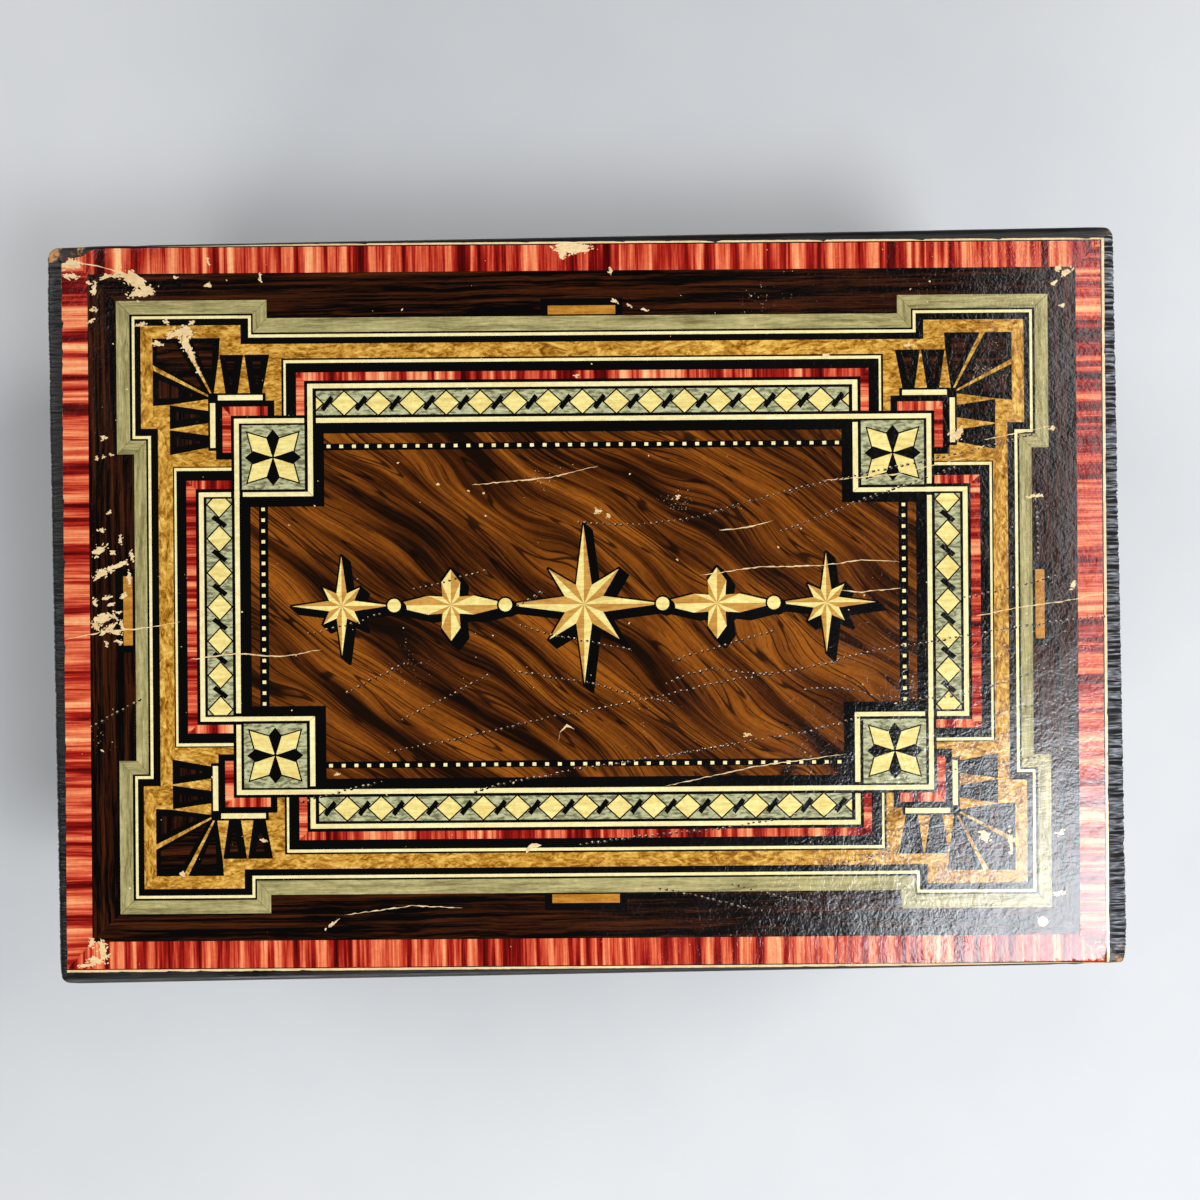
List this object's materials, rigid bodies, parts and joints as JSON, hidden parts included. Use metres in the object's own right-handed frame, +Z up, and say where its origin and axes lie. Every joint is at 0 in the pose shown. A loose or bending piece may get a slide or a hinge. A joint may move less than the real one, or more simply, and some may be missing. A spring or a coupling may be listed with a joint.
{
  "type": "work box",
  "caption": "Rectangular hinged work box with an overhanging flat lid and base, an inlaid-look label, a small lock and a lift-out divided tray with a pincushion.",
  "frame": {"origin": "centre of the base board's underside, on the surface the box stands on", "axes": "+X to the right along the front, +Y from the front (lock) to the back (hinges), +Z up"},
  "size_m": [0.27, 0.1862, 0.0953],
  "materials": {
    "lid_wood": "black stained, worn to bare wood at the corners",
    "base_wood": "black stained",
    "case_wood": "black stained and varnished",
    "label_paper": "printed and varnished",
    "lining_paper": "matte coloured paper",
    "plain_wood": "bare softwood",
    "brass": "tarnished",
    "steel": "dulled",
    "cushion_cloth": "velvet"
  },
  "bodies": {
    "case": {"back_panel": "case_wood", "base_board": "base_wood", "base_pins": "steel", "case_lining": "lining_paper", "escutcheon": "brass", "escutcheon_pins": "brass", "front_panel": "case_wood", "hinge_leaf_lower_left": "brass", "hinge_leaf_lower_right": "brass", "hinge_pin_left": "brass", "hinge_pin_right": "brass", "hinge_screws_lower": "steel", "left_panel": "case_wood", "lock_cap": "brass", "lock_frame": "brass", "lock_screws": "steel", "lock_spring": "steel", "right_panel": "case_wood", "tray_rest_left": "plain_wood", "tray_rest_right": "plain_wood"},
    "lid": {"batten_pins": "steel", "hinge_leaf_upper_left": "brass", "hinge_leaf_upper_right": "brass", "hinge_screws_upper": "steel", "lid_batten_left": "plain_wood", "lid_batten_right": "plain_wood", "lid_board": "lid_wood", "lid_label": "label_paper", "lid_lining": "lining_paper", "link_plate": "brass", "link_screws": "steel"},
    "tray": {"cross_divider_left": "plain_wood", "cross_divider_right": "plain_wood", "left_divider": "plain_wood", "middle_divider_back": "plain_wood", "middle_divider_front": "plain_wood", "pincushion": "cushion_cloth", "right_divider_back": "plain_wood", "right_divider_front": "plain_wood", "tray_back": "plain_wood", "tray_bottom": "plain_wood", "tray_front": "plain_wood", "tray_left": "plain_wood", "tray_right": "plain_wood"},
    "bolt": {"lock_bolt": "brass"}
  },
  "joints": [
    {"name": "lid_hinge", "type": "hinge", "parent": "case", "child": "lid", "pos_m": [0, 0.08943, 0.088], "axis": [-1, 0, 0], "range_deg": [0, 98]},
    {"name": "tray_lift", "type": "slide", "parent": "case", "child": "tray", "axis": [0, 0, 1], "range_m": [0, 0.005]},
    {"name": "bolt_throw", "type": "slide", "parent": "case", "child": "bolt", "axis": [1, 0, 0], "range_m": [0, 0.003]}
  ]
}
